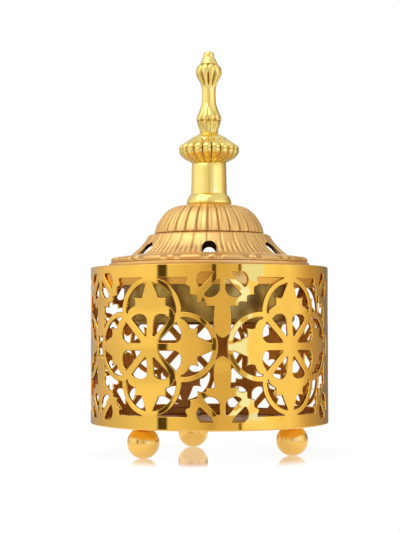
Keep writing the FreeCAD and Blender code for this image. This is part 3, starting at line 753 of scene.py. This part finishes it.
# Knop: nineteen lobes, a row of rounded petals above the middle line and plain ribs below it
knop = {
    "lobes": 19, "crownAngle": -4.0, "columns": 26, "inset": 0.02,
    "lobeDepth": 0.95, "rootDepth": 0.35, "rootReach": (0.0, 0.5),  # the ribs are shallower at their feet
    "middle": 4.4, "middleLine": 0.14, "lineBelow": (0.86, 1.0), "lineAbove": (0.0, 0.12),
    "petalTop": 7.5, "petalArch": 1.2, "petalSwell": 0.3, "petalEdge": (-0.15, 0.2),
    "petalStep": 0.36, "stepFade": (7.0, 9.2),
    # the tints are painted shade, partly patina, in the valleys, at the petal edges and under the middle line
    "ribTint": 0.8, "petalTint": 0.7, "edgeTint": 0.5, "tintBelow": (0.8, 1.0),
}


def knopShape(radius, height, zone, share, angle):
    pitch = 360 / knop["lobes"]
    across = offCentre(angle, knop["crownAngle"], pitch) / pitch * 2  # -1 to 1 over a lobe
    valley = 1 - math.sqrt(max(0.0, 1 - across ** 2))
    if zone == "neck":
        return radius, height, 0.0
    if zone == "lower":
        root = knop["rootDepth"]
        depth = knop["lobeDepth"] * (root + (1 - root) * ease(*knop["rootReach"], share))
        line = knop["middleLine"] * ease(*knop["lineBelow"], share)
        tint = knop["ribTint"] * valley + knop["edgeTint"] * ease(*knop["tintBelow"], share)
        return radius - depth * valley - line, height, tint
    petalTop = knop["petalTop"] - knop["petalArch"] * across ** 2  # each petal ends in a round arch
    petal = 1 - ease(*knop["petalEdge"], height - petalTop)
    rise = min(1.0, (height - knop["middle"]) / (petalTop - knop["middle"]))
    line = knop["middleLine"] * (1 - ease(*knop["lineAbove"], rise))
    swell = knop["petalSwell"] * math.sin(math.pi * rise) * (1 - valley)
    step = knop["petalStep"] * (1 - ease(*knop["stepFade"], height))
    cut = petal * (knop["lobeDepth"] * valley - swell) + (1 - petal) * step
    edge = 4 * petal * (1 - petal)
    tint = knop["petalTint"] * valley * petal + knop["edgeTint"] * edge
    return radius - cut - line, height, min(1.0, tint)


def makeKnop():
    low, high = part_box("handle_knop")
    full = high.x / mm - knop["inset"]
    height = (high.z - low.z) / mm
    rows = inZone("neck", [(0.0, 0.0), (4.9, 0.0)])
    rows += inZone("lower", smoothLine([
        (5.35, 0.05), (6.03, 0.6), (7.33, 1.23), (8.18, 1.87), (8.86, 2.5), (9.32, 3.13), (full, 3.85),
        (full, 4.3)], 4))
    rows += inZone("upper", smoothLine([
        (full, 4.45), (9.35, 5.05), (8.8, 5.67), (7.9, 6.3), (7.05, 6.94), (6.45, 7.5), (5.65, 8.15),
        (4.45, 8.8)], 6))
    rows += inZone("neck", smoothLine([(4.15, 8.92), (3.35, 9.42), (2.95, height - 0.05)], 2))
    rows += inZone("neck", [(0.0, height)])
    piece = carvedPiece(
        "handleKnop", rows, low.z, knop, knop["lobes"], knop["crownAngle"], carvedGold, knopShape)
    settle(piece, "lid", "polished_brass", "handle_knop")


makeKnop()


# Spindle: a slim baluster with hanging petals at the top and long leaves that end in a row of tips
spindle = {
    # the tint is painted shade, partly patina, in the reeds, the leaf valleys and under the steps
    "leaves": 10, "crownAngle": 14.5, "columns": 24, "reedDepth": 0.16, "tint": 0.5,
    "leafTip": 3.7, "leafArch": 0.6, "leafStep": 0.26, "leafEdge": 0.2, "leafDepth": 0.3,
    "leafFade": (5.0, 9.0), "leafTintFade": (5.0, 8.0),
    "petalTop": 21.7, "petalArch": 0.9, "petalStep": 0.35, "petalEdge": (-0.12, 0.12), "petalDepth": 0.8,
    "petalRoot": (13.6, 16.6), "petalFade": (18.0, 20.6), "petalFaded": 0.75,
}


def spindleShape(radius, height, zone, share, angle):
    pitch = 360 / spindle["leaves"]
    across = offCentre(angle, spindle["crownAngle"], pitch) / pitch * 2
    valley = abs(across) ** 1.8
    if zone == "reeds":
        reed = 0.5 - 0.5 * math.cos(2 * math.pi * across)
        depth = spindle["reedDepth"] * math.sin(math.pi * share) ** 0.5
        return radius - depth * reed, height, spindle["tint"] * reed
    if zone == "leaves":
        tip = spindle["leafTip"] + spindle["leafArch"] * across ** 2  # a leaf ends lower in its middle
        lift = ease(0.0, spindle["leafEdge"], height - tip)
        depth = spindle["leafDepth"] * (1 - ease(*spindle["leafFade"], height))
        tint = spindle["tint"] * (valley * (1 - ease(*spindle["leafTintFade"], height)) + 1 - lift)
        return radius - depth * valley - spindle["leafStep"] * (1 - lift), height, min(1.0, tint)
    if zone == "petals":
        top = spindle["petalTop"] - spindle["petalArch"] * across ** 2  # round upper end of a petal
        petal = 1 - ease(*spindle["petalEdge"], height - top)
        faded = spindle["petalFaded"] * ease(*spindle["petalFade"], height)
        deep = ease(*spindle["petalRoot"], height) * (1 - faded)
        cut = spindle["petalDepth"] * deep * valley + spindle["petalStep"] * (1 - petal)
        return radius - cut, height, min(1.0, deep * valley + spindle["tint"] * (1 - petal))
    return radius, height, 0.0


def makeSpindle():
    low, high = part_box("handle_spindle")
    height = (high.z - low.z) / mm
    rows = inZone("plain", [(0.0, 0.0), (2.8, 0.0)])
    rows += inZone("reeds", smoothLine([
        (2.9, 0.25), (2.99, 0.95), (3.16, 1.58), (3.39, 2.21), (3.66, 2.85), (3.76, 3.3)], 3))
    rows += inZone("leaves", smoothLine([
        (3.88, 3.5), (3.97, 4.12), (3.9, 4.75), (3.79, 5.39), (3.5, 6.02), (3.2, 6.65), (2.97, 7.29),
        (2.73, 7.92), (2.38, 9.19), (2.22, 10.46), (2.14, 12.0)], 4))
    rows += inZone("petals", smoothLine([
        (2.13, 12.2), (2.19, 13.63), (2.37, 14.9), (2.6, 15.54), (2.85, 16.17), (3.2, 16.8), (3.52, 17.44),
        (3.86, 18.07), (4.06, 18.71), (4.12, 19.34), (4.08, 19.98), (3.95, 20.61), (3.65, 21.24),
        (3.25, 21.75)], 4))
    rows += inZone("collar", smoothLine([
        (3.0, 21.95), (2.62, 22.5), (2.38, 23.15), (2.05, 23.78), (1.88, 24.1)], 3))
    rows += inZone("tip", smoothLine([
        (1.68, 24.22), (1.72, 24.6), (1.68, 25.05), (1.55, 25.5), (1.25, 25.9), (0.7, 26.12),
        (0.0, height)], 3))
    piece = carvedPiece(
        "handleSpindle", rows, low.z, spindle, spindle["leaves"], spindle["crownAngle"], carvedGold,
        spindleShape)
    settle(piece, "lid", "polished_brass", "handle_spindle")


makeSpindle()

for name in ("foot_screws", "handle_rod", "lid_washer", "lid_nut"):
    cadNodes[name].material_slots[0].material = steel
print("fasteners plated")


# Stage: a white tile in a bright room, with screens that show as dark and bright lines in the polished sheet
stage = {
    "tileRadius": 150.0, "tileSides": 96, "tileEdge": (80.0, 140.0), "tileGlow": 0.9, "tileWhite": 0.22,
    # how bright the tile is in the metal: under the drum, dimmed there as a painted shadow of the drum, round
    # it and further off, and where that changes
    "inMetal": (0.78, 0.95, 0.72), "inMetalWarm": (1.0, 0.94, 0.82), "inMetalReach": (25.0, 37.0, 45.0, 85.0),
    "mirror": 0.8, "mirrorGloss": 0.05, "mirrorReach": (30.0, 54.0),
    "roomFill": 0.55, "ceiling": 0.82, "ceilingSpan": (0.3, 0.75), "dimSpan": (0.03, -0.07),
    "brown": (0.2, 0.45),        # the shares of green and of blue that the brownest wall lacks
    # azimuth from the front, to the right; how bright the room is there, how brown, how it dims downwards
    "walls": [
        (-180, 1.0, 0.0, 0.0), (-173, 0.9, 0.0, 0.0), (-166, 0.45, 0.5, 0.1), (-150, 0.6, 0.4, 0.2),
        (-138, 0.74, 0.4, 0.25), (-125, 0.87, 0.4, 0.28), (-114, 1.0, 0.2, 0.28), (-95, 1.08, 0.0, 0.25),
        (-70, 1.15, 0.0, 0.16), (-52, 1.12, 0.0, 0.12), (-33, 1.0, 0.1, 0.0), (-22, 0.92, 0.3, 0.0),
        (-10, 0.88, 0.4, 0.0), (-4, 0.75, 0.5, 0.0), (1, 0.66, 0.6, 0.0), (9, 0.82, 0.5, 0.0),
        (26, 0.86, 0.5, 0.0), (34, 1.2, 0.0, 0.0), (58, 1.28, 0.0, 0.0), (72, 1.1, 0.0, 0.0),
        (81, 1.16, 0.0, 0.0), (91, 1.0, 0.3, 0.0), (100, 0.8, 0.7, 0.0), (110, 0.64, 1.0, 0.0),
        (121, 0.55, 1.0, 0.0), (133, 0.44, 1.0, 0.0), (148, 0.28, 0.8, 0.0), (166, 0.24, 0.8, 0.0),
        (173, 0.9, 0.0, 0.0), (180, 1.0, 0.0, 0.0)],
}
# Each screen's azimuth, distance from the drum's axis, width, lower and upper edge, soft edge and light
screens = [
    (-41.0, 205.0, 43.0, -60.0, 78.0, 0.5, (0.1, 0.08, 0.05)),
    (4.4, 500.0, 42.0, -5.0, 110.0, 0.45, (0.12, 0.09, 0.05)),
    (27.5, 420.0, 28.0, -70.0, -8.0, 0.5, (0.25, 0.2, 0.12)),
    (27.5, 420.0, 28.0, 55.0, 100.0, 0.5, (0.25, 0.2, 0.12)),
    (41.5, 430.0, 150.0, -13.0, 4.0, 0.2, (1.0, 1.45, 4.0)),
    (40.0, 430.0, 165.0, 55.0, 140.0, 0.15, (1.0, 1.4, 3.0)),
    (24.2, 430.0, 175.0, 2.0, 52.0, 0.3, (1.1, 1.65, 4.2)),
    (19.0, 430.0, 52.0, 77.0, 125.0, 0.35, (1.1, 1.6, 3.6)),
    (19.0, 425.0, 60.0, -75.0, -25.0, 0.5, (0.25, 0.2, 0.12)),
]
lamp = {"size": 1.2, "energy": 5.6, "place": (-0.5, -0.4, 1.1), "target": (0, 0, 0.06)}  # in metres
white = (1, 1, 1, 1)


def grey(level):
    return (level, level, level, 1)


def seenStraight(tree, seen):              # 1 where the camera sees it, or sees it through glass
    return addNode(tree, "ShaderNodeMath", {
        0: seen["Is Camera Ray"], 1: seen["Is Transmission Ray"]}, operation="MAXIMUM").outputs[0]


def makeTile():
    work = bmesh.new()
    bmesh.ops.create_circle(work, cap_ends=True, segments=stage["tileSides"], radius=stage["tileRadius"] * mm)
    mesh = bpy.data.meshes.new("tile")
    work.to_mesh(mesh)
    work.free()
    material, tree, place = newFinish("whiteAcrylicTile")
    seen = addNode(tree, "ShaderNodeLightPath").outputs
    reach = addNode(tree, "ShaderNodeVectorMath", {0: place}, operation="LENGTH").outputs["Value"]

    def fading(span, start, end):          # a value that changes with the distance from the middle
        return addNode(tree, "ShaderNodeMapRange", {
            "Value": reach, "From Min": span[0] * mm, "From Max": span[1] * mm,
            "To Min": start, "To Max": end}, interpolation_type="SMOOTHSTEP").outputs[0]

    straight = seenStraight(tree, seen)
    # the dimmer glow under the drum is a painted shadow in the tile's reflection
    near, middle, far = stage["inMetal"]
    lit = addNode(tree, "ShaderNodeMath", {
        0: fading(stage["inMetalReach"][:2], near, middle),
        1: fading(stage["inMetalReach"][2:], middle, far)}, operation="MINIMUM")
    inMetal = addNode(tree, "ShaderNodeMath", {
        0: seen["Is Glossy Ray"], 1: lit.outputs[0]}, operation="MULTIPLY")
    power = addNode(tree, "ShaderNodeMath", {
        0: straight, 1: stage["tileGlow"], 2: inMetal.outputs[0]}, operation="MULTIPLY_ADD")
    tint = addNode(tree, "ShaderNodeMix", {
        "Factor": seen["Is Glossy Ray"], "A": white, "B": stage["inMetalWarm"] + (1,)}, data_type="RGBA")
    glow = addNode(tree, "ShaderNodeEmission", {
        "Color": tint.outputs["Result"], "Strength": power.outputs[0]})
    matt = addNode(tree, "ShaderNodeBsdfDiffuse", {"Color": grey(stage["tileWhite"])})
    body = addNode(tree, "ShaderNodeAddShader", {0: glow.outputs[0], 1: matt.outputs[0]})
    polish = addNode(tree, "ShaderNodeBsdfGlossy", {"Color": white, "Roughness": stage["mirrorGloss"]})
    share = addNode(tree, "ShaderNodeMath", {
        0: straight, 1: fading(stage["mirrorReach"], stage["mirror"], 0.0)}, operation="MULTIPLY")
    shiny = addNode(tree, "ShaderNodeMixShader", {
        0: share.outputs[0], 1: body.outputs[0], 2: polish.outputs[0]})
    paper = addNode(tree, "ShaderNodeEmission", {"Color": white, "Strength": 1.0})
    rim = addNode(tree, "ShaderNodeMath", {
        0: straight, 1: fading(stage["tileEdge"], 0.0, 1.0)}, operation="MULTIPLY")
    whole = addNode(tree, "ShaderNodeMixShader", {
        0: rim.outputs[0], 1: shiny.outputs[0], 2: paper.outputs[0]})
    addNode(tree, "ShaderNodeOutputMaterial", {"Surface": whole.outputs[0]})
    mesh.materials.append(material)
    addPiece("tile", mesh)


def makeScreens():                         # upright sheets that only show in the metal
    for i, (azimuth, distance, width, low, high, softEdge, light) in enumerate(screens):
        side = polar(width * mm / 2, azimuth + 90, 0.0)
        foot = polar(distance * mm, azimuth, low * mm)
        head = polar(distance * mm, azimuth, high * mm)
        mesh = bpy.data.meshes.new("screen")
        mesh.from_pydata([foot - side, foot + side, head + side, head - side], [], [(0, 1, 2, 3)])
        across = mesh.attributes.new("across", "FLOAT", "POINT")
        across.data.foreach_set("value", (-1.0, 1.0, 1.0, -1.0))
        material, tree, _ = newFinish("screenCloth" + str(i + 1))
        aside = addNode(tree, "ShaderNodeAttribute", attribute_name="across").outputs["Fac"]
        reach = addNode(tree, "ShaderNodeMath", {0: aside}, operation="ABSOLUTE")
        edge = addNode(tree, "ShaderNodeMapRange", {
            "Value": reach.outputs[0], "From Min": 1 - softEdge, "From Max": 1.0},
            interpolation_type="SMOOTHSTEP")
        cloth = addNode(tree, "ShaderNodeEmission", {"Color": light + (1,), "Strength": 1.0})
        bare = addNode(tree, "ShaderNodeBsdfTransparent", {"Color": white})
        sheer = addNode(tree, "ShaderNodeMixShader", {
            0: edge.outputs[0], 1: cloth.outputs[0], 2: bare.outputs[0]})
        addNode(tree, "ShaderNodeOutputMaterial", {"Surface": sheer.outputs[0]})
        mesh.materials.append(material)
        screen = addPiece("screen" + str(i + 1), mesh)
        screen.visible_camera = False
        screen.visible_shadow = False
        screen.visible_diffuse = False


def makeRoom():
    world = bpy.data.worlds.new("studioRoom")
    world.use_nodes = True
    tree = world.node_tree
    tree.nodes.clear()
    around = addNode(tree, "ShaderNodeTexCoord").outputs["Generated"]
    way = addNode(tree, "ShaderNodeSeparateXYZ", {0: around}).outputs
    back = addNode(tree, "ShaderNodeMath", {0: way["Y"], 1: -1.0}, operation="MULTIPLY")
    azimuth = addNode(tree, "ShaderNodeMath", {0: way["X"], 1: back.outputs[0]}, operation="ARCTAN2")
    share = addNode(tree, "ShaderNodeMapRange", {
        "Value": azimuth.outputs[0], "From Min": -math.pi, "From Max": math.pi})
    walls = addNode(tree, "ShaderNodeValToRGB", {"Fac": share.outputs[0]})
    stops = walls.color_ramp.elements
    green, blue = stage["brown"]
    for i, (angle, bright, brown, dims) in enumerate(stage["walls"]):
        stop = stops[i] if i in (0, len(stage["walls"]) - 1) else stops.new((angle + 180) / 360)
        stop.color = (bright, bright * (1 - green * brown), bright * (1 - blue * brown), dims)
    low = addNode(tree, "ShaderNodeMapRange", {
        "Value": way["Z"], "From Min": stage["dimSpan"][0], "From Max": stage["dimSpan"][1]})
    dim = addNode(tree, "ShaderNodeMath", {
        0: low.outputs[0], 1: walls.outputs["Alpha"]}, operation="MULTIPLY")
    shaded = addNode(tree, "ShaderNodeMix", {
        "Factor": dim.outputs[0], "A": walls.outputs["Color"], "B": grey(0)}, data_type="RGBA")
    overhead = addNode(tree, "ShaderNodeMapRange", {
        "Value": way["Z"], "From Min": stage["ceilingSpan"][0], "From Max": stage["ceilingSpan"][1]},
        interpolation_type="SMOOTHSTEP")
    room = addNode(tree, "ShaderNodeMix", {
        "Factor": overhead.outputs[0], "A": shaded.outputs["Result"], "B": grey(stage["ceiling"])},
        data_type="RGBA")
    seen = addNode(tree, "ShaderNodeLightPath").outputs
    fill = addNode(tree, "ShaderNodeMix", {
        "Factor": seen["Is Glossy Ray"], "A": grey(stage["roomFill"]), "B": room.outputs["Result"]},
        data_type="RGBA")
    shown = addNode(tree, "ShaderNodeMix", {
        "Factor": seenStraight(tree, seen), "A": fill.outputs["Result"], "B": white}, data_type="RGBA")
    background = addNode(tree, "ShaderNodeBackground", {"Color": shown.outputs["Result"], "Strength": 1.0})
    addNode(tree, "ShaderNodeOutputWorld", {"Surface": background.outputs[0]})
    bpy.context.scene.world = world


def makeLamp():
    light = bpy.data.lights.new("softBox", "AREA")
    light.size = lamp["size"]
    light.energy = lamp["energy"]
    box = addPiece("softBox", light)
    box.location = lamp["place"]
    box.rotation_euler = (Vector(lamp["target"]) - box.location).to_track_quat("-Z", "Y").to_euler()


makeTile()
makeScreens()
makeRoom()
makeLamp()
print("stage set")


# Camera at the photograph's low viewing angle
view = {"distance": 479.7, "height": 41.52, "lens": 102.15, "pitch": 2.098, "roll": 0.104, "yaw": 0.352}
lens = bpy.data.cameras.new("camera")
lens.lens = view["lens"]
camera = addPiece("camera", lens)
camera.location = (0.0, -view["distance"] * mm, view["height"] * mm)
camera.rotation_euler = [math.radians(a) for a in (90 + view["pitch"], view["roll"], view["yaw"])]
bpy.context.scene.camera = camera
bpy.context.scene.view_settings.view_transform = "Standard"
